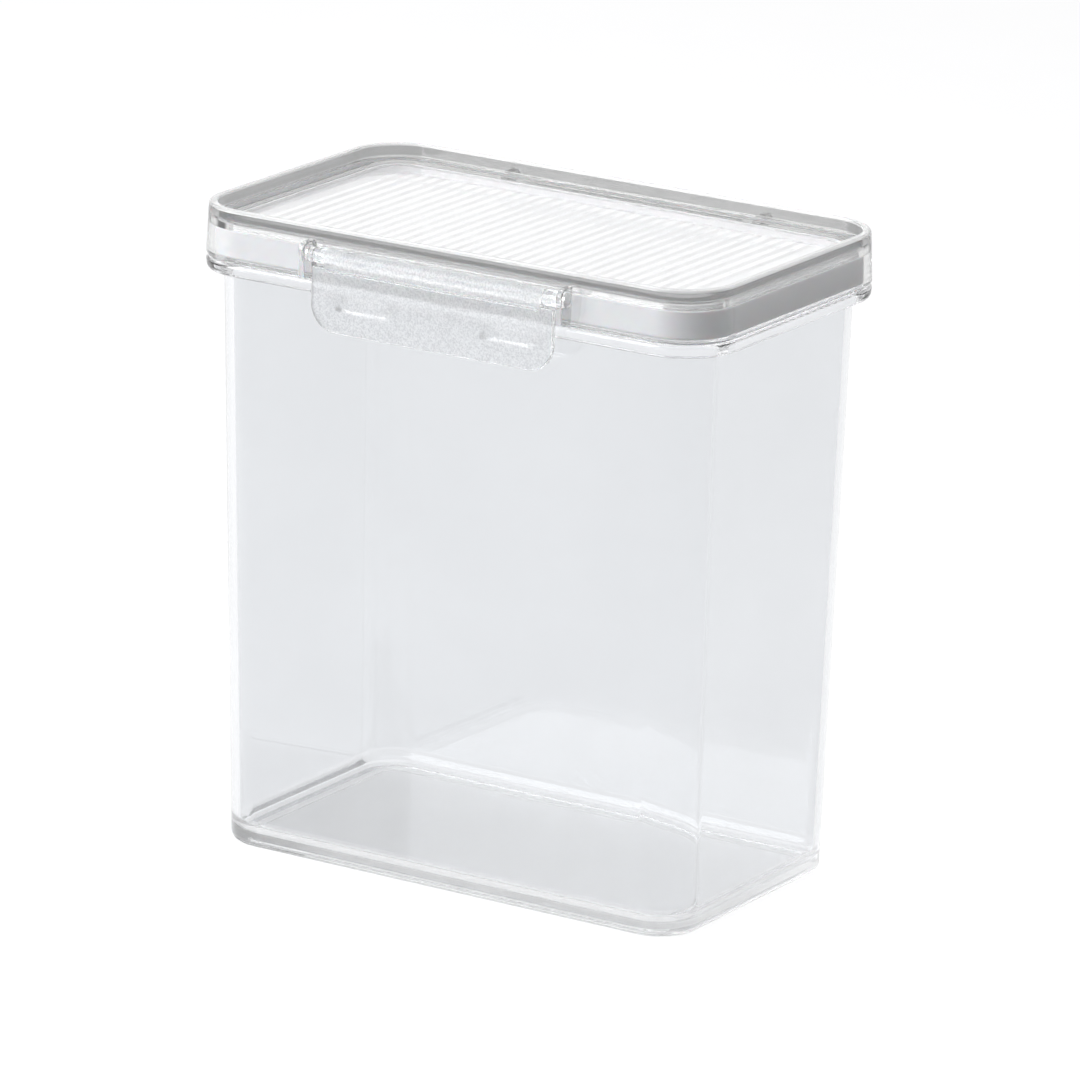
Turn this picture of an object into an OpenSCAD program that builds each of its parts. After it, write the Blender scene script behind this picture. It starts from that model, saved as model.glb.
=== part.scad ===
// Airtight kitchen canister: a clear tapered container, and a clear lid that a silicone
// gasket seals and two hinged latches hold down, one on each long side.
// Millimetres. The origin is on the ground at the middle of the foot. X runs along the
// long sides, the front long side faces -Y, and Z is up.

/* [Overall] */
// Length of the flange, the widest part, along X
width = 150; // [120:1:220]
// Depth of the flange along Y
depth = 89; // [80:1:160]
// Height from the ground to the top of the lid
height = 164; // [90:1:260]
// Corner radius of the flange and lid, seen from above
corner_r = 15; // [12:0.5:24]

/* [Container] */
// Thickness of the container's walls
wall = 2.2; // [1.6:0.1:3]
// Thickness of the container's floor
floor_t = 3; // [2.2:0.1:5]
// How much each short wall leans in from the flange to the foot
taper_x = 2.9; // [0:0.1:6]
// How much each long wall leans in from the flange to the foot
taper_y = 1.5; // [0:0.1:5]
// Corner radius of the container at its foot
foot_r = 11.5; // [9:0.5:16]
// Radius of the rounded edge between the walls and the ground
foot_fillet = 2.2; // [1:0.1:3]
// Width of the flat ring that the container stands on
foot_ring = 4.5; // [3:0.1:8]
// Depth of the hollow under the floor, inside that ring
foot_hollow = 0.8; // [0.3:0.1:1.2]
// Radius of the rounded inside corner between the walls and the floor
floor_fillet = 4; // [2:0.1:6]
// Thickness of the flange
flange_t = 3.4; // [2.6:0.1:5]
// Height of the neck that stands on the flange
neck_h = 4.1; // [3:0.1:6]

/* [Lid frame] */
// Height of the lid's outer side
lid_h = 13.2; // [12.4:0.1:16]
// Gap between the lid's side and the flange
seam = 0.2; // [0.1:0.05:0.6]
// How much the lid's side leans in from its foot to its top
lid_taper = 0.5; // [0:0.1:1]
// Thickness of the lip that stands round the top
lip_t = 2.3; // [1.9:0.1:2.8]
// Depth of the recess inside the lip
lip_h = 3.3; // [2.5:0.1:4]
// Thickness of the lid's side wall below the recess
skirt_t = 2; // [1.8:0.1:2.4]
// Thickness of the recess's border
web_t = 1.9; // [1.6:0.1:2.4]
// Thickness of the border's inner edge, which laps over the panel
lap_t = 0.9; // [0.6:0.1:1.1]
// Width of that lap
lap_w = 1.5; // [1:0.1:1.8]
// How far the border's inner edge stops short of the plug wall
border_back = 0.3; // [0.2:0.1:0.8]

/* [Lid panel] */
// Thickness of the fluted panel
panel_t = 1.6; // [1.4:0.1:2.2]
// How far the panel stands above its rim, which the border laps over
panel_rise = 0.2; // [0.1:0.1:0.6]
// Thickness of the plug wall under the panel
plug_t = 1.6; // [1.2:0.1:2.4]
// Depth of the plug wall below the recess's border
plug_h = 8.5; // [6:0.1:12]
// Spacing of the flutes along X
flute_pitch = 3.7; // [3:0.1:6]
// Radius of each flute
flute_r = 0.9; // [0.6:0.1:0.9]
// How far each flute stands out of the panel's underside
flute_h = 0.5; // [0.3:0.1:0.6]
// Smooth margin between the lid's outline and the flutes' ends
flute_margin = 13.5; // [12:0.5:20]

/* [Gasket] */
// Thickness of the gasket's outer flap
flap_t = 1.9; // [1.4:0.1:2.4]
// Height of the flap's free edge above the lid's foot
flap_rise = 0.6; // [0.3:0.1:1.5]

/* [Latches] */
// Width of each latch plate
latch_w = 69.4; // [50:0.1:80]
// Thickness of each latch plate
latch_t = 1.8; // [1.4:0.1:2.2]
// How far each latch plate reaches below the flange's underside
latch_drop = 8; // [6:0.1:11]
// Corner radius at the latch plate's free edge
latch_r = 7; // [3:0.5:9]
// Radius of the barrel along the latch's hinge
barrel_r = 2.1; // [2:0.05:2.4]
// Radius of the hinge pins moulded on the barrel's ends
pin_r = 1.9; // [1.6:0.05:1.95]
// Length of bare pin between the barrel's end and the ear
pin_bare = 4.8; // [3:0.1:6]
// How deep each pin sits in its ear
pin_seat = 1.1; // [0.8:0.05:1.3]
// Distance of the hinge axis outside the lid's outline
axis_out = 1.2; // [1:0.1:1.6]
// Distance of the hinge axis below the top of the lid
axis_drop = 6.5; // [6:0.1:7.5]
// Size of the two notches in the top of the barrel
notch = 1.3; // [0.8:0.1:1.6]
// Place of each notch, as a share of half the latch's width
notch_at = 0.71; // [0.3:0.01:0.72]
// Length of each hook on the latch's inner face
hook_w = 14.3; // [8:0.1:18]
// Distance between the two hooks
hook_space = 27.4; // [16:0.1:30]
// Height of each hook
hook_h = 2.5; // [1.8:0.1:3.5]
// How far each hook reaches in under the flange
hook_reach = 1.6; // [1.2:0.1:2.2]
// Thickness of each ear that holds a pin
ear_t = 1.7; // [1.6:0.1:3]
// How far each ear stands out of the lid's outline
ear_out = 4.4; // [4:0.1:5.5]
// Height of each ear above the hinge axis
ear_top = 3.2; // [2.8:0.1:3.6]
// Radius of the ear's rounded front corners
ear_r = 2.2; // [1:0.1:3]

/* [Clearances] */
// Radial gap between a hinge pin and its hole
pin_gap = 0.05; // [0.03:0.01:0.09]
// Gap round a latch's barrel, to the lid
latch_gap = 0.3; // [0.2:0.05:0.5]
// Gap between a latch plate's edge and the ear beside it
latch_side = 1.4; // [0.4:0.1:2]
// Gap between the hooks and the flange above them
hook_gap = 0.1; // [0.05:0.05:0.3]
// Gap between the gasket and what holds it
gasket_gap = 0.1; // [0.05:0.05:0.2]
// Gap between the neck and the gasket above it
seal_gap = 0.2; // [0.1:0.05:0.3]
// Gap on each side of the neck
neck_gap = 0.5; // [0.3:0.1:0.8]
// Gap between the panel's edge and the frame
panel_gap = 0.1; // [0.05:0.05:0.2]

/* [Hidden] */

corner_steps = 12;
fillet_steps = 4;
least_r = 0.6;
edge_r = 0.5;
lid_edge_r = 0.9;
flange_edge_r = 1;
joined = 0.4;
cut = 1;
$fn = 48;

// Heights, from the top down
recess_z = height - lip_h;
web_z = recess_z - web_t;
rim_z = recess_z - lap_t - panel_gap;
panel_top = rim_z + panel_rise;
panel_z = panel_top - panel_t;
lid_z = height - lid_h;
flange_top = lid_z - seam;
flange_z = flange_top - flange_t;
neck_top = flange_top + neck_h;
plug_z = web_z - plug_h;
axis_z = height - axis_drop;
latch_z = flange_z - latch_drop;

// Insets from the flange's outline, from the outside in
neck_inset = skirt_t + gasket_gap + flap_t + neck_gap;
plug_inset = neck_inset + wall + neck_gap;
recess_edge = plug_inset - border_back;
lap_inset = recess_edge - lap_w;

// The container's outline at the neck and at the foot
neck_w = width - 2 * neck_inset;
neck_d = depth - 2 * neck_inset;
neck_r = corner_r - neck_inset;
foot_w = neck_w - 2 * taper_x;
foot_d = neck_d - 2 * taper_y;

// The latches, as the front one lies
axis_y = depth / 2 + axis_out;
latch_face = axis_y + barrel_r;
latch_back = latch_face - latch_t;
bay_half = latch_w / 2 + latch_side;
barrel_half = bay_half - pin_bare;
bay_y = axis_y - barrel_r - latch_gap;
bay_top = axis_z + barrel_r + 2 * latch_gap;
hook_top = flange_z - hook_gap;

// One closed outline: x by y outside, with corner radius r, at height z
function ring(x, y, r, z) = [
    for (corner = [[1, 1, 0], [-1, 1, 90], [-1, -1, 180], [1, -1, 270]])
        for (step = [0:corner_steps])
            let (angle = corner[2] + 90 * step / corner_steps)
                [corner[0] * (x / 2 - r) + r * cos(angle),
                 corner[1] * (y / 2 - r) + r * sin(angle),
                 z]
];

// The flange's outline moved in by inset, at height z
function lid_ring(inset, z) = ring(
    width - 2 * inset, depth - 2 * inset, max(least_r, corner_r - inset), z
);

// The tapered container's outline moved in by inset, at height z
function body_ring(inset, z) = let (rise = min(1, z / flange_z)) ring(
    foot_w + (neck_w - foot_w) * rise - 2 * inset,
    foot_d + (neck_d - foot_d) * rise - 2 * inset,
    max(least_r, foot_r + (neck_r - foot_r) * rise - inset),
    z
);

// Points [inset, z] of a rounded edge: angle 0 faces out, 90 up, 180 in and 270 down
function edge(inset, z, r, from, to) = [
    for (step = [0:fillet_steps])
        let (angle = from + (to - from) * step / fillet_steps)
            [inset - r * cos(angle), z + r * sin(angle)]
];

// Side faces between ring a and ring b, where each ring has n points
function band(a, b, n) = [
    for (k = [0:n - 1])
        let (next = (k + 1) % n)
            each [
                [a * n + k, b * n + next, a * n + next],
                [a * n + k, b * n + k, b * n + next]
            ]
];

// Solid between a stack of rings, closed by a flat face at its first and last ring
module stack(rings) {
    n = len(rings[0]);
    last = len(rings) - 1;
    sides = [for (k = [0:last - 1]) each band(k, k + 1, n)];
    first_cap = [for (k = [0:n - 1]) k];
    last_cap = [for (k = [n - 1:-1:0]) last * n + k];
    polyhedron(
        points = [for (one = rings) each one],
        faces = concat(sides, [first_cap, last_cap])
    );
}

// Hollow frame whose section runs round through every ring and back to the first
module frame_of(rings) {
    n = len(rings[0]);
    count = len(rings);
    sides = [for (k = [0:count - 1]) each band(k, (k + 1) % count, n)];
    polyhedron(points = [for (one = rings) each one], faces = sides);
}

// Draws its children at the front, and again turned half round for the rear
module both_sides() {
    children();
    rotate([0, 0, 180]) children();
}

// Draws its children at the right, and again mirrored at the left
module both_ends() {
    children();
    mirror([1, 0, 0]) children();
}

// Cylinder along X, centred on the front latch's hinge axis
module axis_rod(r, from, to) {
    translate([from, -axis_y, axis_z]) rotate([0, 90, 0]) cylinder(r = r, h = to - from);
}

module container() {
    underside = [
        body_ring(foot_ring + foot_hollow + foot_fillet, foot_hollow),
        body_ring(foot_ring + foot_fillet, 0)
    ];
    foot = [for (p = edge(foot_fillet, foot_fillet, foot_fillet, 270, 360)) body_ring(p[0], p[1])];
    flange = concat(
        [body_ring(0, flange_z)],
        [for (p = edge(flange_edge_r, flange_z + flange_edge_r, flange_edge_r, 270, 360))
            lid_ring(p[0], p[1])],
        [for (p = edge(edge_r, flange_top - edge_r, edge_r, 0, 90)) lid_ring(p[0], p[1])]
    );
    neck = concat(
        [body_ring(0, flange_top)],
        [for (p = edge(edge_r, neck_top - edge_r, edge_r, 0, 90)) body_ring(p[0], p[1])],
        [for (p = edge(wall - edge_r, neck_top - edge_r, edge_r, 90, 180)) body_ring(p[0], p[1])]
    );
    inner = concat(
        [body_ring(wall, flange_z)],
        [for (p = edge(wall + floor_fillet, floor_t + floor_fillet, floor_fillet, 360, 270))
            body_ring(p[0], p[1])]
    );
    color([0.9, 0.93, 0.95, 0.35]) stack(concat(underside, foot, flange, neck, inner));
}

// Section of the lid's frame: side, lip, recess border, lap over the panel, and skirt
function frame_section() = concat(
    edge(edge_r, lid_z + edge_r, edge_r, 270, 360),
    edge(lid_taper + lid_edge_r, height - lid_edge_r, lid_edge_r, 0, 90),
    edge(lid_taper + lip_t - edge_r, height - edge_r, edge_r, 90, 180),
    edge(lid_taper + lip_t + edge_r, recess_z + edge_r, edge_r, 0, -90),
    [[recess_edge, recess_z], [recess_edge, recess_z - lap_t]],
    [[lap_inset, recess_z - lap_t], [lap_inset, web_z]],
    [[skirt_t, web_z], [skirt_t, lid_z]]
);

// Ear that holds one end of a latch's hinge
module ear() {
    ear_z = lid_z + edge_r;
    ear_h = axis_z + ear_top - ear_z;
    root = depth / 2 - lid_taper - joined;
    front = depth / 2 + ear_out;
    translate([bay_half, 0, 0]) rotate([90, 0, 90]) linear_extrude(ear_t) union() {
        translate([-front + ear_r, ear_z]) square([front - ear_r - root, ear_h]);
        translate([-front, ear_z + ear_r]) square([front - root, ear_h - 2 * ear_r]);
        for (z = [ear_z + ear_r, ear_z + ear_h - ear_r]) {
            translate([-front + ear_r, z]) circle(r = ear_r);
        }
    }
}

module lid_frame() {
    color([0.9, 0.93, 0.95, 0.4]) difference() {
        union() {
            difference() {
                frame_of([for (p = frame_section()) lid_ring(p[0], p[1])]);
                both_sides() translate([-bay_half, -depth, lid_z - cut])
                    cube([2 * bay_half, depth - bay_y, bay_top - lid_z + cut]);
            }
            both_sides() both_ends() ear();
        }
        both_sides() both_ends()
            axis_rod(pin_r + pin_gap, bay_half - cut, bay_half + pin_seat + 2 * pin_gap);
    }
}

module lid_panel() {
    rim_inset = lap_inset + panel_gap;
    top_inset = recess_edge + panel_gap;
    rings = concat(
        [lid_ring(plug_inset + plug_t, panel_z)],
        [for (p = edge(plug_inset + plug_t / 2, plug_z + plug_t / 2, plug_t / 2, 180, 360))
            lid_ring(p[0], p[1])],
        [lid_ring(plug_inset, web_z), lid_ring(rim_inset, web_z), lid_ring(rim_inset, rim_z)],
        [lid_ring(top_inset, rim_z), lid_ring(top_inset, panel_top)]
    );
    flute_half = depth / 2 - flute_margin;
    flutes = floor((width / 2 - flute_margin - flute_r) / flute_pitch);
    color([0.93, 0.95, 0.97, 0.45]) union() {
        stack(rings);
        for (k = [-flutes:flutes]) {
            translate([k * flute_pitch, flute_half, panel_z + flute_r - flute_h])
                rotate([90, 0, 0]) cylinder(r = flute_r, h = 2 * flute_half);
        }
    }
}

module gasket() {
    outer = skirt_t + gasket_gap;
    inner = plug_inset - gasket_gap;
    top = web_z - gasket_gap;
    free_z = lid_z + flap_rise;
    seal_z = neck_top + seal_gap;
    section = concat(
        edge(outer + flap_t / 2, free_z + flap_t / 2, flap_t / 2, 180, 360),
        [[outer, top], [inner, top], [inner, seal_z], [outer + flap_t, seal_z]]
    );
    color([0.93, 0.94, 0.95]) frame_of([for (p = section) lid_ring(p[0], p[1])]);
}

// Outline of a latch plate in X and Z: rounded below, cut back beside the bare pins
module latch_outline() {
    half = latch_w / 2;
    shoulder = axis_z - pin_r - latch_gap;
    union() {
        translate([-half + latch_r, latch_z]) square([latch_w - 2 * latch_r, axis_z - latch_z]);
        translate([-half, latch_z + latch_r]) square([latch_w, shoulder - latch_z - latch_r]);
        for (x = [-half + latch_r, half - latch_r]) {
            translate([x, latch_z + latch_r]) circle(r = latch_r);
        }
        translate([-barrel_half, latch_z + latch_r])
            square([2 * barrel_half, axis_z - latch_z - latch_r]);
    }
}

// The front latch: plate, barrel, pins and the two hooks that grip under the flange
module latch() {
    hook_y = depth / 2 - hook_reach;
    notch_x = notch_at * latch_w / 2;
    color([0.92, 0.94, 0.96, 0.5]) difference() {
        union() {
            translate([0, -latch_back, 0]) rotate([90, 0, 0])
                linear_extrude(latch_t) latch_outline();
            axis_rod(barrel_r, -barrel_half, barrel_half);
            axis_rod(pin_r, -bay_half - pin_seat, bay_half + pin_seat);
            both_ends() translate([hook_space / 2, -latch_back - joined, hook_top - hook_h])
                cube([hook_w, latch_back - hook_y + joined, hook_h]);
        }
        both_ends() translate([notch_x - notch / 2, -axis_y - notch / 2, axis_z + barrel_r - notch])
            cube([notch, notch, 2 * notch]);
    }
}

module front_latch() latch();

module rear_latch() rotate([0, 0, 180]) latch();

container();
lid_frame();
lid_panel();
gasket();
front_latch();
rear_latch();
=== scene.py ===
import math

import bmesh
import bpy
from mathutils import Matrix, Vector


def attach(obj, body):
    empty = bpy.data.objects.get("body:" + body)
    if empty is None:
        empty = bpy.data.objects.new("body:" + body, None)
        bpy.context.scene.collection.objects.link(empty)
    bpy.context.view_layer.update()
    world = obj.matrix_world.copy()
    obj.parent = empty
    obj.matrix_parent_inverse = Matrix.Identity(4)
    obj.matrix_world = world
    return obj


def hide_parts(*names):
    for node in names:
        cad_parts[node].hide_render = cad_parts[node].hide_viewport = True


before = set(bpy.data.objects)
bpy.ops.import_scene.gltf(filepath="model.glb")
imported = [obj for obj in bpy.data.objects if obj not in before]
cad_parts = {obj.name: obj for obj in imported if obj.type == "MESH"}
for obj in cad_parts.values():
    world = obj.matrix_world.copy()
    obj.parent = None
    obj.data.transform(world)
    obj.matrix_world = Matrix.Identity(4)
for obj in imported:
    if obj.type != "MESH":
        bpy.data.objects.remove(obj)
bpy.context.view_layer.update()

# Sizes in millimetres, as in the CAD source. MM turns them into metres.
MM = 0.001
WIDTH, DEPTH, HEIGHT, CORNER_R = 150, 89, 164, 15
SMALLEST_CORNER_R = 0.6

# Container
WALL, FLOOR_T, FLOOR_FILLET = 2.2, 3, 4
FOOT_W, FOOT_D, FOOT_R, FOOT_FILLET = 135.2, 77, 11.5, 2.2
FOOT_RING, FOOT_HOLLOW = 4.5, 0.8
NECK_W, NECK_D, NECK_R, NECK_TOP, NECK_EDGE = 141, 80, 10.5, 154.7, 0.5
FLANGE_Z, FLANGE_TOP, FLANGE_DRAFT = 147.2, 150.6, 0.15
FLANGE_LOW_EDGE, FLANGE_HIGH_EDGE = 1.2, 1.1

# Lid frame
LID_Z, LID_TAPER, LID_EDGE = 150.8, 0.5, 0.7
LIP_T, LIP_OUTER_EDGE, LIP_INNER_EDGE = 2.3, 0.9, 0.5
RECESS_Z, RECESS_EDGE, RECESS_CHAMFER = 160.7, 6.9, 0.25
SKIRT_T, WEB_Z, LAP_T, LAP_INSET = 2, 158.8, 0.9, 5.4
# Above this height the top edge has a painted highlight, a paler and milky copy of the lid plastic.
HIGHLIGHT_RIM_Z = 163.3

# Lid panel and its plug wall
PLUG_INSET, PLUG_T, PLUG_Z = 7.2, 1.6, 150.3
PANEL_Z, PANEL_TOP, PANEL_RIM_Z, PANEL_GAP = 158.3, 159.9, 159.7, 0.1
FLUTE_PITCH, FLUTE_R, FLUTE_H, FLUTE_MARGIN = 3.7, 0.9, 0.5, 13.5
FLUTE_SKIN, FLUTE_ROOT = 0.02, 0.3

# Gasket
GASKET_GAP, GASKET_CHAMFER, SEAL_GAP = 0.1, 0.3, 0.2
FLAP_T, FLAP_RISE = 1.9, 0.6

# Latches, with the bays and ears that hold them. Y counts outwards from the middle of the lid.
AXIS_Y, AXIS_Z = 45.7, 157.5
LATCH_W, LATCH_Z, LATCH_R, LATCH_EDGE = 69.4, 139.2, 7, 0.5
LATCH_FACE, LATCH_BACK, SHOULDER_GAP, TONGUE_RISE = 47.8, 46.0, 0.3, 0.13
BARREL_R, BARREL_HALF = 2.1, 31.3
PIN_R, PIN_GAP, PIN_SEAT, PIN_ROOT = 1.9, 0.05, 1.1, 0.6
BAY_HALF, BAY_Y, BAY_TOP, BAY_R, BAY_BELOW = 36.1, 43.3, 160.2, 0.6, 5
EAR_T, EAR_OUT, EAR_R, EAR_TOP, EAR_RISE, EAR_ROOT = 1.7, 4.4, 2.2, 3.2, 0.5, 0.4
HOOK_SPACE, HOOK_W, HOOK_TOP, HOOK_H, HOOK_Y, HOOK_ROOT = 27.4, 14.3, 147.1, 2.5, 42.9, 0.6
HOOK_RADII = (0, 0.7, 0.3, 0)
NOTCH, NOTCH_X, NOTCH_R = 1.3, 24.6, 0.3
GROOVE_R, GROOVE_DEPTH, GROOVE_Z, GROOVE_END = 0.5, 0.2, 154.7, 1

# Bevels along the edges of the small parts
SMALL_BEVEL, HOOK_BEVEL, EAR_BEVEL = 0.2, 0.25, 0.3

# Steps in curves. The barrel and the pins differ, so that their facets never coincide.
CORNER_STEPS, FILLET_STEPS, FLUTE_STEPS = 20, 6, 12
HOLE_STEPS, BARREL_STEPS, PIN_STEPS, GROOVE_STEPS = 40, 48, 38, 24
LATCH_STEPS, EAR_STEPS, BAY_STEPS, SMALL_STEPS = 14, 8, 5, 4

# Degrees between faces from which an edge is bevelled, and from which it is shaded sharp
BEVEL_ANGLE, SHARP_ANGLE = 40, 35


def ring(x, y, r, z):
    """The points of a rounded rectangle, x by y with corners r, at height z."""
    points = []
    for sx, sy, start in ((1, 1, 0), (-1, 1, 90), (-1, -1, 180), (1, -1, 270)):
        for step in range(CORNER_STEPS + 1):
            a = math.radians(start + 90 * step / CORNER_STEPS)
            u = sx * (x / 2 - r) + r * math.cos(a)
            v = sy * (y / 2 - r) + r * math.sin(a)
            points.append((u, v, z))
    return points


def lid_ring(inset, z):
    """A ring inside the lid's outline."""
    return ring(
        WIDTH - 2 * inset, DEPTH - 2 * inset, max(SMALLEST_CORNER_R, CORNER_R - inset), z
    )


def body_ring(inset, z):
    """A ring inside the container's outline, which widens from the foot to the neck."""
    rise = min(1, z / FLANGE_Z)
    return ring(
        FOOT_W + (NECK_W - FOOT_W) * rise - 2 * inset,
        FOOT_D + (NECK_D - FOOT_D) * rise - 2 * inset,
        max(SMALLEST_CORNER_R, FOOT_R + (NECK_R - FOOT_R) * rise - inset),
        z,
    )


def rings(kind, section):
    """The lid's or the container's rings for a section of (inset, z) points."""
    return [kind(inset, z) for inset, z in section]


def edge(inset, z, r, start, end):
    """An arc of a section, as (inset, z) points. At 0 degrees it faces outwards, at 90 up."""
    out = []
    for step in range(FILLET_STEPS + 1):
        a = math.radians(start + (end - start) * step / FILLET_STEPS)
        out.append((inset - r * math.cos(a), z + r * math.sin(a)))
    return out


def new_object(name, bm):
    """An object in metres from a mesh in millimetres."""
    bmesh.ops.remove_doubles(bm, verts=bm.verts, dist=1e-4)
    bmesh.ops.recalc_face_normals(bm, faces=bm.faces)
    for v in bm.verts:
        v.co *= MM
    mesh = bpy.data.meshes.new(name)
    bm.to_mesh(mesh)
    bm.free()
    ob = bpy.data.objects.new(name, mesh)
    bpy.context.scene.collection.objects.link(ob)
    return ob


def loft(name, rows, closed):
    """Skin over a list of rings, closed round its section or capped at both ends."""
    bm = bmesh.new()
    rows = [[bm.verts.new(p) for p in row] for row in rows]
    n = len(rows[0])
    for k in range(len(rows) if closed else len(rows) - 1):
        a, b = rows[k], rows[(k + 1) % len(rows)]
        for i in range(n):
            j = (i + 1) % n
            bm.faces.new((a[i], a[j], b[j], b[i]))
    if not closed:
        bm.faces.new(rows[0])
        bm.faces.new(rows[-1])
    return new_object(name, bm)


def prism(name, outline, low, high, along="x"):
    """Outline of points extruded from low to high: (y, z) points along x, (x, z) along y."""
    place = {"x": lambda u, v, t: (t, u, v), "y": lambda u, v, t: (u, t, v)}[along]
    bm = bmesh.new()
    a = [bm.verts.new(place(u, v, low)) for u, v in outline]
    b = [bm.verts.new(place(u, v, high)) for u, v in outline]
    for i in range(len(a)):
        j = (i + 1) % len(a)
        bm.faces.new((a[i], a[j], b[j], b[i]))
    bm.faces.new(a)
    bm.faces.new(b)
    return new_object(name, bm)


def rounded(u0, v0, u1, v1, radii, steps):
    """Rounded rectangle. radii run from the low corner round by (u1, v0), (u1, v1), (u0, v1)."""
    corners = ((u0, v0, 1, 1, 180), (u1, v0, -1, 1, 270), (u1, v1, -1, -1, 0), (u0, v1, 1, -1, 90))
    out = []
    for (u, v, su, sv, start), r in zip(corners, radii):
        if r <= 0:
            out.append((u, v))
            continue
        for step in range(steps + 1):
            a = math.radians(start + 90 * step / steps)
            out.append((u + su * r + r * math.cos(a), v + sv * r + r * math.sin(a)))
    return out


def circle(u, v, r, steps):
    angles = [2 * math.pi * k / steps for k in range(steps)]
    return [(u + r * math.cos(a), v + r * math.sin(a)) for a in angles]


def applied(ob):
    """Puts the result of ob's modifiers in its mesh."""
    depsgraph = bpy.context.evaluated_depsgraph_get()
    mesh = bpy.data.meshes.new_from_object(ob.evaluated_get(depsgraph), depsgraph=depsgraph)
    old = ob.data
    ob.modifiers.clear()
    ob.data = mesh
    bpy.data.meshes.remove(old)
    return ob


def bevelled(ob, width, segments=3):
    m = ob.modifiers.new("bevel", "BEVEL")
    m.width = width * MM
    m.segments = segments
    m.limit_method = "ANGLE"
    m.angle_limit = math.radians(BEVEL_ANGLE)
    m.use_clamp_overlap = True
    return applied(ob)


def combine(ob, other, operation):
    """Boolean operation on ob, which uses up the other object."""
    m = ob.modifiers.new("combine", "BOOLEAN")
    m.operation = operation
    m.solver = "EXACT"
    m.object = other
    applied(ob)
    mesh = other.data
    bpy.data.objects.remove(other)
    bpy.data.meshes.remove(mesh)


def turned(ob, half_turn=False, mirror=False):
    """A copy of ob, mirrored across X, turned half round Z, or both."""
    copy = ob.copy()
    copy.data = ob.data.copy()
    bpy.context.scene.collection.objects.link(copy)
    if mirror:
        copy.data.transform(Matrix.Scale(-1, 4, Vector((1, 0, 0))))
        copy.data.flip_normals()
    if half_turn:
        copy.data.transform(Matrix.Rotation(math.pi, 4, "Z"))
    return copy


def finished(ob, name, body, nodes, materials, pick=None):
    """Shades the piece smooth, with flat faces kept flat, and ties it to the frame.

    pick says which of the materials a face has, from its centre in millimetres and its normal.
    """
    ob.name = ob.data.name = name
    mesh = ob.data
    mesh.polygons.foreach_set("use_smooth", [True] * len(mesh.polygons))
    mesh.set_sharp_from_angle(angle=math.radians(SHARP_ANGLE))
    m = ob.modifiers.new("weights", "WEIGHTED_NORMAL")
    m.keep_sharp = True
    m.weight = 80
    applied(ob)
    ob.data.name = name
    ob.data.materials.clear()
    for material in materials:
        ob.data.materials.append(material)
    if pick:
        for p in ob.data.polygons:
            p.material_index = pick(p.center / MM, p.normal)
    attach(ob, body)
    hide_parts(*nodes)


# Materials. Noise scales are in features per metre, heights and depths in millimetres.
TINT_SCALE, SMUDGE_SCALE, WAVE_SCALE, PATCH_SCALE, FINE_SCALE, FLOOR_SCALE = 28, 65, 45, 40, 900, 30
PLASTIC_IOR, SILICONE_IOR = 1.56, 1.41
WAVE_HEIGHT, SILICONE_GRAIN_HEIGHT = 0.02, 0.03
GRAIN_RANGE = (0.38, 0.62)
SUBSURFACE, SUBSURFACE_DEPTH = 0.25, 1.5


def node_material(name):
    material = bpy.data.materials.new(name)
    material.use_nodes = True
    nodes = material.node_tree.nodes
    nodes.clear()
    return material, nodes, material.node_tree.links


def noise(nodes, links, coords, scale, detail, rough=0.5):
    n = nodes.new("ShaderNodeTexNoise")
    n.inputs["Scale"].default_value = scale
    n.inputs["Detail"].default_value = detail
    n.inputs["Roughness"].default_value = rough
    links.new(coords.outputs["Object"], n.inputs["Vector"])
    return n.outputs["Fac"]


def to_range(nodes, links, value, low, high, from_low=0.3, from_high=0.7):
    n = nodes.new("ShaderNodeMapRange")
    n.inputs["From Min"].default_value = from_low
    n.inputs["From Max"].default_value = from_high
    n.inputs["To Min"].default_value = low
    n.inputs["To Max"].default_value = high
    links.new(value, n.inputs["Value"])
    return n.outputs["Result"]


def tint(nodes, links, value, dark, pale):
    n = nodes.new("ShaderNodeMix")
    n.data_type = "RGBA"
    n.inputs["A"].default_value = (*dark, 1)
    n.inputs["B"].default_value = (*pale, 1)
    links.new(value, n.inputs["Factor"])
    return n.outputs["Result"]


def bumped(nodes, links, shader, value, strength, height):
    n = nodes.new("ShaderNodeBump")
    n.inputs["Strength"].default_value = strength
    n.inputs["Distance"].default_value = height * MM
    links.new(value, n.inputs["Height"])
    links.new(n.outputs["Normal"], shader.inputs["Normal"])


def mixed(nodes, links, factor, first, second):
    """Mix Shader, which shows the second shader where factor is 1."""
    n = nodes.new("ShaderNodeMixShader")
    links.new(factor, n.inputs["Fac"])
    links.new(first, n.inputs[1])
    links.new(second, n.inputs[2])
    return n.outputs["Shader"]


def shown_by(nodes, links, shader, output="ShaderNodeOutputMaterial"):
    """Links the shader to the output of its material or world."""
    links.new(shader, nodes.new(output).inputs["Surface"])


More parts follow.
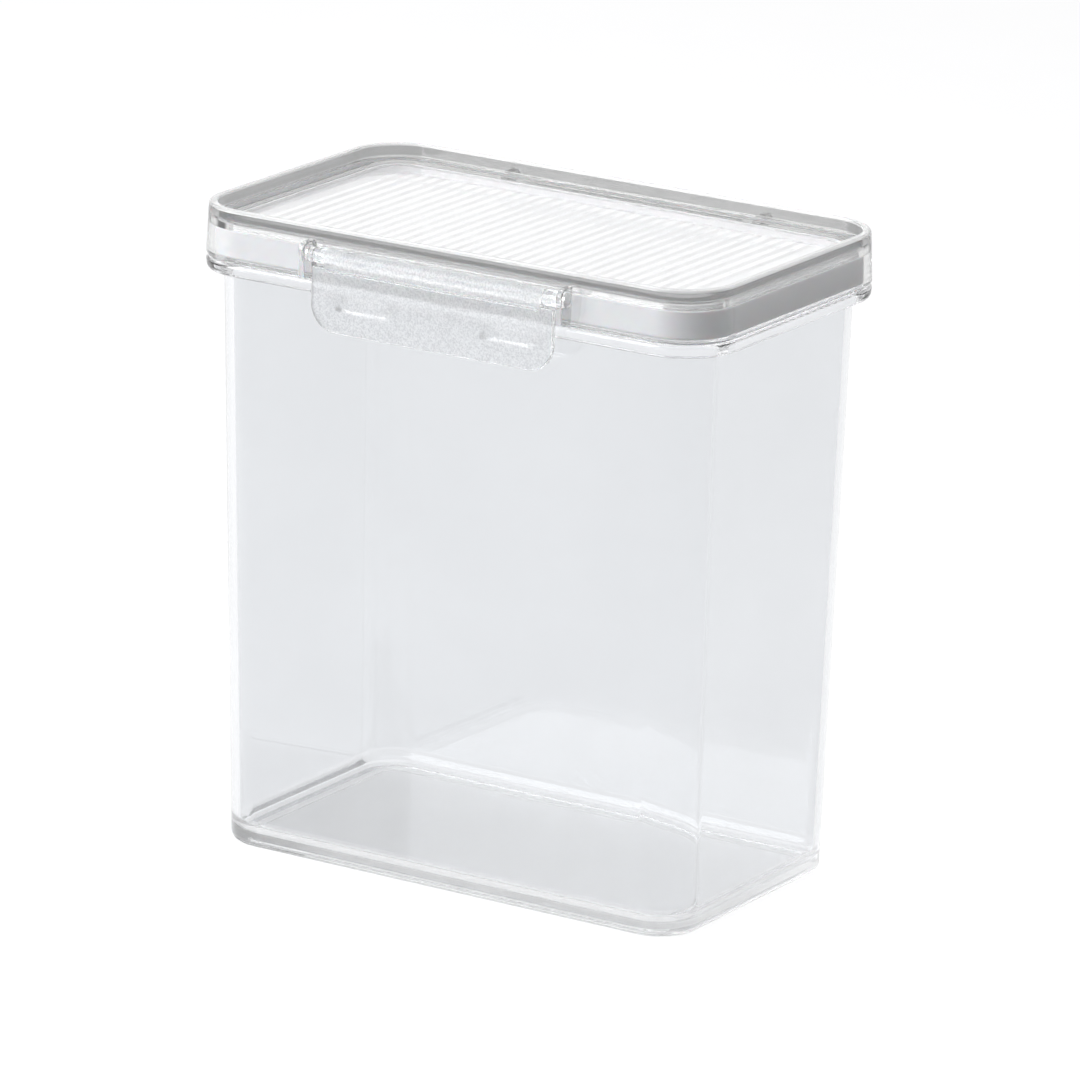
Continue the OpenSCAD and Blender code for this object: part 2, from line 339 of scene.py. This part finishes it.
def clear_plastic(name, dark, pale, rough, passes=0.9, grain=None, haze=0.0):
    """Clear moulded plastic. Lamps shine through it, as they do through the real one.

    grain is the width and height of a frosted surface's grain in millimetres.
    """
    material, nodes, links = node_material(name)
    coords = nodes.new("ShaderNodeTexCoord")
    shader = nodes.new("ShaderNodeBsdfPrincipled")
    shader.inputs["IOR"].default_value = PLASTIC_IOR
    shader.inputs["Transmission Weight"].default_value = 1 - haze
    if grain:
        size, height = grain
        relief = noise(nodes, links, coords, 1000 / size, 2, 0.7)
        flow = to_range(nodes, links, relief, 0, 1, *GRAIN_RANGE)
    else:
        height = WAVE_HEIGHT
        relief = noise(nodes, links, coords, WAVE_SCALE, 1)
        flow = noise(nodes, links, coords, TINT_SCALE, 3)
    links.new(tint(nodes, links, flow, dark, pale), shader.inputs["Base Color"])
    smudge = noise(nodes, links, coords, SMUDGE_SCALE, 4, 0.6)
    links.new(to_range(nodes, links, smudge, *rough), shader.inputs["Roughness"])
    bumped(nodes, links, shader, relief, 1, height)
    path = nodes.new("ShaderNodeLightPath")
    through = nodes.new("ShaderNodeBsdfTransparent")
    through.inputs["Color"].default_value = (passes, passes, passes, 1)
    either = mixed(
        nodes, links, path.outputs["Is Shadow Ray"], shader.outputs["BSDF"], through.outputs["BSDF"]
    )
    shown_by(nodes, links, either)
    return material


def silicone_material():
    material, nodes, links = node_material("white_silicone")
    coords = nodes.new("ShaderNodeTexCoord")
    shader = nodes.new("ShaderNodeBsdfPrincipled")
    shader.inputs["IOR"].default_value = SILICONE_IOR
    shader.inputs["Subsurface Weight"].default_value = SUBSURFACE
    shader.inputs["Subsurface Scale"].default_value = SUBSURFACE_DEPTH * MM
    patch = noise(nodes, links, coords, PATCH_SCALE, 3)
    colour = tint(nodes, links, patch, (0.80, 0.81, 0.85), (0.86, 0.87, 0.90))
    links.new(colour, shader.inputs["Base Color"])
    fine = noise(nodes, links, coords, FINE_SCALE, 2)
    links.new(to_range(nodes, links, fine, 0.42, 0.58), shader.inputs["Roughness"])
    bumped(nodes, links, shader, fine, 0.4, SILICONE_GRAIN_HEIGHT)
    shown_by(nodes, links, shader.outputs["BSDF"])
    return material


# Each clear plastic: its name, darkest and palest tint, and range of roughness
CLEAR = clear_plastic("clear_plastic", (0.92, 0.925, 0.935), (0.95, 0.955, 0.965), (0.0, 0.02))
# The wall and base tints are darker copies of the clear plastic: painted shade on the upright walls
# and on the underside, which is also matt.
WALLS_PAINTED_SHADE = clear_plastic("wall_plastic_painted_shade", (0.82, 0.83, 0.842), (0.86, 0.87, 0.882), (0.0, 0.02))
BASE_MATT_PAINTED_SHADE = clear_plastic("base_plastic_matt_painted_shade", (0.70, 0.705, 0.71), (0.78, 0.785, 0.79), (0.3, 0.45))
LID = clear_plastic(
    "lid_plastic", (0.725, 0.73, 0.725), (0.775, 0.78, 0.775), (0.01, 0.05), passes=0.96
)
# A much darker copy of the lid plastic: painted shade in the lip and in the top of the border.
LIP_PAINTED_SHADE = clear_plastic(
    "lip_plastic_painted_shade", (0.36, 0.362, 0.36), (0.44, 0.442, 0.44), (0.01, 0.05), passes=0.96
)
# A paler, milky and rougher copy of the lid plastic along the top edge: a painted highlight.
MILKY_PAINTED_HIGHLIGHT = clear_plastic(
    "lid_rim_painted_highlight", (0.93, 0.935, 0.935), (0.98, 0.98, 0.98), (0.08, 0.2), passes=0.96, haze=0.3
)
PANEL = clear_plastic(
    "panel_plastic", (0.95, 0.95, 0.96), (0.98, 0.98, 0.985), (0.04, 0.12), haze=0.25
)
POLISHED = clear_plastic("latch_plastic", (0.96, 0.965, 0.97), (0.98, 0.985, 0.99), (0.02, 0.06))
FROSTED = clear_plastic(
    "frosted_plastic", (0.6, 0.61, 0.625), (0.94, 0.95, 0.96), (0.3, 0.42), grain=(0.4, 0.12),
    haze=0.16
)
SILICONE = silicone_material()

# Which faces of a piece have its second or third material: limits for the face's normal, and
# how far in millimetres the zone reaches past a size above
UPRIGHT, DOWNWARD, OUTWARD = 0.1, -0.6, 0.97
FLANGE_SLACK, BORDER_SLACK, LIP_SLACK = 0.1, 0.2, 0.6
FACE_SLACK, BARREL_SLACK, BARREL_DROP, BARREL_DEPTH = 0.35, 0.2, 1, 2


def container_material(c, n):
    """Greyer in the upright walls, and matt and darker underneath; both darker tints are painted
    shade.
    """
    # Painted shade: the upright walls get the darker copy of the plastic.
    if FOOT_FILLET < c.z < FLANGE_Z - FLANGE_SLACK and abs(n.z) < UPRIGHT:
        return 1
    # The underside is matt, and its darker tint is painted shade.
    return 2 if c.z < FOOT_FILLET and n.z < DOWNWARD else 0


def build_container():
    section = [(FOOT_RING + FOOT_HOLLOW + FOOT_FILLET, FOOT_HOLLOW), (FOOT_RING + FOOT_FILLET, 0)]
    section += edge(FOOT_FILLET, FOOT_FILLET, FOOT_FILLET, 270, 360)
    rows = rings(body_ring, section + [(0, FLANGE_Z)])
    low, high = FLANGE_LOW_EDGE, FLANGE_HIGH_EDGE
    section = edge(low + FLANGE_DRAFT, FLANGE_Z + low, low, 270, 360)
    section += edge(high, FLANGE_TOP - high, high, 0, 90)
    rows += rings(lid_ring, section)
    section = [(0, FLANGE_TOP)]
    section += edge(NECK_EDGE, NECK_TOP - NECK_EDGE, NECK_EDGE, 0, 90)
    section += edge(WALL - NECK_EDGE, NECK_TOP - NECK_EDGE, NECK_EDGE, 90, 180)
    section += [(WALL, FLANGE_Z)]
    section += edge(WALL + FLOOR_FILLET, FLOOR_T + FLOOR_FILLET, FLOOR_FILLET, 360, 270)
    rows += rings(body_ring, section)
    ob = loft("container", rows, False)
    materials = [CLEAR, WALLS_PAINTED_SHADE, BASE_MATT_PAINTED_SHADE]
    finished(
        ob, "container_shell", "base", ["container"], materials, container_material
    )


def build_ear():
    """The ear at one end of the front bay. Its back edge is inside the lid's side."""
    back = DEPTH / 2 - LID_TAPER - EAR_ROOT
    outline = rounded(
        -(DEPTH / 2 + EAR_OUT), LID_Z + EAR_RISE, -back, AXIS_Z + EAR_TOP,
        (EAR_R, 0, 0, EAR_R), EAR_STEPS
    )
    return bevelled(prism("ear", outline, BAY_HALF, BAY_HALF + EAR_T), EAR_BEVEL)


def frame_material(c, n):
    """Milky and paler along the top edge, a painted highlight; greyer in the lip and in the top of
    the border, painted shade.
    """
    # Painted highlight: the top edge gets the paler, milky copy of the lid plastic.
    if c.z > HIGHLIGHT_RIM_Z:
        return 1
    # Painted shade: the lip and the top of the border get the darker copy of the lid plastic.
    inward = n.x * c.x + n.y * c.y < 0
    lip = c.z > RECESS_Z - BORDER_SLACK or (c.z > RECESS_Z - LIP_SLACK and inward)
    return 2 if lip else 0


def build_frame():
    outer, inner = LIP_OUTER_EDGE, LIP_INNER_EDGE
    section = edge(LID_EDGE, LID_Z + LID_EDGE, LID_EDGE, 270, 360)
    section += [(LID_TAPER * (RECESS_Z - LID_Z) / (HEIGHT - LID_Z), RECESS_Z)]
    section += edge(LID_TAPER + outer, HEIGHT - outer, outer, 0, 90)
    section += edge(LID_TAPER + LIP_T - inner, HEIGHT - inner, inner, 90, 180)
    section += edge(LID_TAPER + LIP_T + inner, RECESS_Z + inner, inner, 0, -90)
    section += [
        (RECESS_EDGE - RECESS_CHAMFER, RECESS_Z),
        (RECESS_EDGE, RECESS_Z - RECESS_CHAMFER),
        (RECESS_EDGE, RECESS_Z - LAP_T),
        (LAP_INSET, RECESS_Z - LAP_T),
        (LAP_INSET, WEB_Z),
        (SKIRT_T, WEB_Z),
        (SKIRT_T, LID_Z),
    ]
    ob = loft("lid_frame", rings(lid_ring, section), True)
    outline = rounded(-DEPTH, LID_Z - BAY_BELOW, -BAY_Y, BAY_TOP, (0, 0, BAY_R, 0), BAY_STEPS)
    bay = prism("bay", outline, -BAY_HALF, BAY_HALF)
    for half in (False, True):
        combine(ob, turned(bay, half_turn=half), "DIFFERENCE")
    bpy.data.objects.remove(bay)
    ear = build_ear()
    outline = circle(-AXIS_Y, AXIS_Z, PIN_R + PIN_GAP, HOLE_STEPS)
    hole = prism("hole", outline, BAY_HALF - 1, BAY_HALF + PIN_SEAT + 2 * PIN_GAP)
    for operation, tool in (("UNION", ear), ("DIFFERENCE", hole)):
        for half in (False, True):
            for mirror in (False, True):
                combine(ob, turned(tool, half, mirror), operation)
        bpy.data.objects.remove(tool)
    materials = [LID, MILKY_PAINTED_HIGHLIGHT, LIP_PAINTED_SHADE]
    finished(ob, "lid_rim", "lid", ["lid_frame"], materials, frame_material)


def build_panel():
    outer, recess, plug_r = LAP_INSET + PANEL_GAP, RECESS_EDGE + PANEL_GAP, PLUG_T / 2
    section = [(PLUG_INSET + PLUG_T, PANEL_Z)]
    section += edge(PLUG_INSET + plug_r, PLUG_Z + plug_r, plug_r, 180, 360)
    section += [(PLUG_INSET, WEB_Z), (outer, WEB_Z), (outer, PANEL_RIM_Z)]
    section += [(recess, PANEL_RIM_Z), (recess, PANEL_TOP)]
    ob = loft("lid_panel", rings(lid_ring, section), False)
    half = DEPTH / 2 - FLUTE_MARGIN
    count = int((WIDTH / 2 - FLUTE_MARGIN - FLUTE_R) // FLUTE_PITCH)
    reach, steps = (count + 0.5) * FLUTE_PITCH, (2 * count + 1) * FLUTE_STEPS
    outline = [(reach, PANEL_Z + FLUTE_ROOT), (-reach, PANEL_Z + FLUTE_ROOT)]
    for step in range(steps + 1):
        x = -reach + 2 * reach * step / steps
        wave = 0.5 + 0.5 * math.cos(2 * math.pi * x / FLUTE_PITCH)
        outline.append((x, PANEL_Z - FLUTE_SKIN - FLUTE_H * wave))
    combine(ob, prism("flutes", outline, -half, half, "y"), "UNION")
    finished(ob, "lid_panel_fluted", "lid", ["lid_panel"], [PANEL])


def build_gasket():
    outer, inner, top = SKIRT_T + GASKET_GAP, PLUG_INSET - GASKET_GAP, WEB_Z - GASKET_GAP
    free_z, seal_z, flap_r = LID_Z + FLAP_RISE, NECK_TOP + SEAL_GAP, FLAP_T / 2
    section = edge(outer + flap_r, free_z + flap_r, flap_r, 180, 360)
    section += [(outer, top - GASKET_CHAMFER), (outer + GASKET_CHAMFER, top), (inner, top)]
    section += [(inner, seal_z), (outer + FLAP_T, seal_z)]
    ob = loft("gasket", rings(lid_ring, section), True)
    finished(ob, "gasket_ring", "lid", ["gasket"], [SILICONE])


def build_latch():
    """The front latch: plate with a groove, barrel with two notches, two pins, two hooks."""
    half, shoulder, top = LATCH_W / 2, AXIS_Z - PIN_R - SHOULDER_GAP, AXIS_Z + TONGUE_RISE
    outline = rounded(-half, LATCH_Z, half, shoulder, (LATCH_R, LATCH_R, 0, 0), LATCH_STEPS)
    outline[-1:-1] = [
        (BARREL_HALF, shoulder),
        (BARREL_HALF, top),
        (-BARREL_HALF, top),
        (-BARREL_HALF, shoulder),
    ]
    latch = bevelled(prism("latch", outline, -LATCH_FACE, -LATCH_BACK, "y"), LATCH_EDGE, 4)
    outline = circle(-LATCH_FACE - GROOVE_R + GROOVE_DEPTH, GROOVE_Z, GROOVE_R, GROOVE_STEPS)
    end = BARREL_HALF - GROOVE_END
    combine(latch, prism("groove", outline, -end, end), "DIFFERENCE")

    outline = circle(-AXIS_Y, AXIS_Z, BARREL_R, BARREL_STEPS)
    barrel = bevelled(prism("barrel", outline, -BARREL_HALF, BARREL_HALF), SMALL_BEVEL)
    outline = rounded(
        -AXIS_Y - NOTCH / 2, AXIS_Z + BARREL_R - NOTCH, -AXIS_Y + NOTCH / 2, AXIS_Z + BARREL_R + 1,
        (NOTCH_R, NOTCH_R, 0, 0), SMALL_STEPS
    )
    for sign in (-1, 1):
        low = sign * NOTCH_X - NOTCH / 2
        combine(barrel, prism("notch", outline, low, low + NOTCH), "DIFFERENCE")
    combine(latch, barrel, "UNION")

    outline = circle(-AXIS_Y, AXIS_Z, PIN_R, PIN_STEPS)
    for sign in (-1, 1):
        low, high = sorted((sign * (BARREL_HALF - PIN_ROOT), sign * (BAY_HALF + PIN_SEAT)))
        combine(latch, bevelled(prism("pin", outline, low, high), SMALL_BEVEL), "UNION")

    outline = rounded(
        -LATCH_BACK - HOOK_ROOT, HOOK_TOP - HOOK_H, -HOOK_Y, HOOK_TOP, HOOK_RADII, SMALL_STEPS
    )
    for sign in (-1, 1):
        low = min(sign * HOOK_SPACE / 2, sign * (HOOK_SPACE / 2 + HOOK_W))
        combine(latch, bevelled(prism("hook", outline, low, low + HOOK_W), HOOK_BEVEL), "UNION")
    return latch


def dress_latch(ob, name, body, node, side):
    """Frosts the plate's face and the barrel. side is -1 at the front and 1 at the rear."""

    def latch_material(c, n):
        out = n.y * side
        face = out > OUTWARD and abs(c.y) > LATCH_FACE - FACE_SLACK
        high = abs(c.x) < BARREL_HALF - BARREL_SLACK and c.z > AXIS_Z - BARREL_DROP
        barrel = high and (c.y * side > AXIS_Y - BARREL_DEPTH or out > 0)
        return 1 if face or barrel else 0

    finished(ob, name, body, [node], [POLISHED, FROSTED], latch_material)


build_container()
build_frame()
build_panel()
build_gasket()
front = build_latch()
rear = turned(front, half_turn=True)
dress_latch(front, "latch_front", "latch_front", "front_latch", -1)
dress_latch(rear, "latch_rear", "latch_rear", "rear_latch", 1)


# Floor. GLOW fills it up to white where the camera and the clear plastic see it. As a lamp it
# glows by POOL_GLOW, from inside the first of POOL_RADII to beyond the second, in metres.
GLOW, POOL_GLOW, POOL_RADII = 0.6, (0.36, 0.14), (0.3, 0.6)
FLOOR_DARK, FLOOR_PALE, FLOOR_PLAIN = (0.40, 0.40, 0.405), (0.415, 0.415, 0.42), (0.8, 0.8, 0.8, 1)
FLOOR_RADIUS, FLOOR_Z, FLOOR_STEPS = 1600, -0.2, 96

# The world lights the object from CARDS. Behind the object it is white, with dark FLAGS beside it
# that only clear plastic and gloss show. Each has its direction, the angles in degrees where it
# starts and is full, and its strength.
WORLD_LEVEL = 0.51
CARDS = (
    ((0.0, 0.0, 1.0), (65, 25), 0.8),
    ((-0.51, 0.81, 0.34), (34, 16), 0.84),
    ((-0.9, -0.45, 0.35), (38, 22), 0.96),
    ((0.95, 0.2, 0.1), (60, 20), 0.2),
    ((-0.98, 0.2, 0.02), (24, 8), 0.24),
    ((0.45, -0.85, 0.25), (30, 12), 0.64),
)
WHITE = 1.0
FLAGS = (
    ((0.55, -0.81, 0.1), (65, 40), 0.1),
    ((0.97, 0.25, 0.1), (55, 34), 0.07),
    ((-0.97, -0.2, 0.1), (55, 34), 0.12),
    ((-0.9, -0.45, 0.5), (30, 18), 1.0),
)


def blended(nodes, links, low, high, factor):
    """low where factor is 0 and high where it is 1. Each is a number or a socket."""
    mix = nodes.new("ShaderNodeMix")
    for value, name in ((low, "A"), (high, "B"), (factor, "Factor")):
        if isinstance(value, (int, float)):
            mix.inputs[name].default_value = value
        else:
            links.new(value, mix.inputs[name])
    return mix.outputs["Result"]


def shown_to(nodes, links, path):
    """1 for the camera and for what metal and clear plastic reflect or let through."""
    total = path.outputs["Is Camera Ray"]
    for kind in ("Is Glossy Ray", "Is Transmission Ray"):
        n = nodes.new("ShaderNodeMath")
        n.operation = "MAXIMUM"
        links.new(total, n.inputs[0])
        links.new(path.outputs[kind], n.inputs[1])
        total = n.outputs[0]
    return total


def floor_material():
    """White to the camera and to clear plastic, and it keeps the shadow."""
    material, nodes, links = node_material("floor_white")
    coords = nodes.new("ShaderNodeTexCoord")
    path = nodes.new("ShaderNodeLightPath")
    shade = nodes.new("ShaderNodeBsdfDiffuse")
    patch = noise(nodes, links, coords, FLOOR_SCALE, 3)
    links.new(tint(nodes, links, patch, FLOOR_DARK, FLOOR_PALE), shade.inputs["Color"])
    glow = nodes.new("ShaderNodeEmission")
    length = nodes.new("ShaderNodeVectorMath")
    length.operation = "LENGTH"
    links.new(coords.outputs["Object"], length.inputs[0])
    pool = to_range(nodes, links, length.outputs["Value"], *POOL_GLOW, *POOL_RADII)
    strength = blended(nodes, links, pool, GLOW, shown_to(nodes, links, path))
    links.new(strength, glow.inputs["Strength"])
    add = nodes.new("ShaderNodeAddShader")
    links.new(shade.outputs["BSDF"], add.inputs[0])
    links.new(glow.outputs["Emission"], add.inputs[1])
    plain = nodes.new("ShaderNodeBsdfDiffuse")
    plain.inputs["Color"].default_value = FLOOR_PLAIN
    either = mixed(
        nodes, links, path.outputs["Is Diffuse Ray"], add.outputs["Shader"], plain.outputs["BSDF"]
    )
    shown_by(nodes, links, either)
    return material


def build_floor():
    bm = bmesh.new()
    bmesh.ops.create_circle(bm, cap_ends=True, radius=FLOOR_RADIUS, segments=FLOOR_STEPS)
    floor = new_object("floor", bm)
    floor.location.z = FLOOR_Z * MM
    floor.data.materials.append(floor_material())


def studio(nodes, links, coords, level, cards):
    """Brightness by direction: level, with each card laid over the ones before it."""
    for direction, (start, full), strength in cards:
        dot = nodes.new("ShaderNodeVectorMath")
        dot.operation = "DOT_PRODUCT"
        dot.inputs[1].default_value = Vector(direction).normalized()
        links.new(coords.outputs["Generated"], dot.inputs[0])
        card = nodes.new("ShaderNodeMapRange")
        card.interpolation_type = "SMOOTHSTEP"
        card.inputs["From Min"].default_value = math.cos(math.radians(start))
        card.inputs["From Max"].default_value = math.cos(math.radians(full))
        links.new(dot.outputs["Value"], card.inputs["Value"])
        level = blended(nodes, links, level, strength, card.outputs["Result"])
    return level


def build_world():
    world = bpy.data.worlds.new("studio")
    bpy.context.scene.world = world
    world.use_nodes = True
    nodes, links = world.node_tree.nodes, world.node_tree.links
    nodes.clear()
    coords = nodes.new("ShaderNodeTexCoord")
    path = nodes.new("ShaderNodeLightPath")
    light = studio(nodes, links, coords, WORLD_LEVEL, CARDS)
    backdrop = studio(nodes, links, coords, WHITE, FLAGS)
    level = blended(nodes, links, light, backdrop, shown_to(nodes, links, path))
    level = blended(nodes, links, level, WHITE, path.outputs["Is Camera Ray"])
    background = nodes.new("ShaderNodeBackground")
    background.inputs["Color"].default_value = (1, 1, 1, 1)
    links.new(level, background.inputs["Strength"])
    shown_by(nodes, links, background.outputs["Background"], "ShaderNodeOutputWorld")


# Lamps: places and sizes in metres, powers in watts
LAMP_TARGET = Vector((0, 0, 0.1))


def softbox(name, place, size, power):
    """A rectangular lamp that points at LAMP_TARGET."""
    data = bpy.data.lights.new(name, "AREA")
    data.shape = "RECTANGLE"
    data.size, data.size_y = size
    data.energy = power
    ob = bpy.data.objects.new(name, data)
    bpy.context.scene.collection.objects.link(ob)
    ob.location = place
    ob.rotation_mode = "QUATERNION"
    ob.rotation_quaternion = (LAMP_TARGET - Vector(place)).to_track_quat("-Z", "Y")
    ob.visible_camera = False


build_floor()
build_world()
softbox("key", (-0.9, -1.1, 0.9), (1.2, 1.2), 22)
softbox("top", (0.0, 0.1, 1.3), (1.2, 1.0), 4)

# Camera: angles in degrees, distance and target in metres, lens in millimetres
AZIMUTH, ELEVATION, ROLL = 32.3195, 16.289, 1.3786
DISTANCE, TARGET, LENS = 2.07792, Vector((0.002477, 0, 0.081477)), 280.9


def build_camera():
    a, e, r = (math.radians(v) for v in (AZIMUTH, ELEVATION, ROLL))
    back = Vector((math.sin(a) * math.cos(e), -math.cos(a) * math.cos(e), math.sin(e)))
    right = Vector((math.cos(a), math.sin(a), 0))
    up = back.cross(right)
    x = right * math.cos(r) + up * math.sin(r)
    y = up * math.cos(r) - right * math.sin(r)
    place = TARGET + back * DISTANCE
    data = bpy.data.cameras.new("camera")
    data.lens = LENS
    data.sensor_width = 36
    data.clip_end = 20
    camera = bpy.data.objects.new("camera", data)
    bpy.context.scene.collection.objects.link(camera)
    rows = [(x[k], y[k], back[k], place[k]) for k in range(3)]
    camera.matrix_world = Matrix((*rows, (0, 0, 0, 1)))
    bpy.context.scene.camera = camera


build_camera()
bpy.context.scene.view_settings.view_transform = "Standard"

# Light runs a long way inside clear plastic, by reflection from its faces
MOST_BOUNCES = 96
for limit in ("max_bounces", "transmission_bounces", "glossy_bounces", "transparent_max_bounces"):
    setattr(bpy.context.scene.cycles, limit, MOST_BOUNCES)
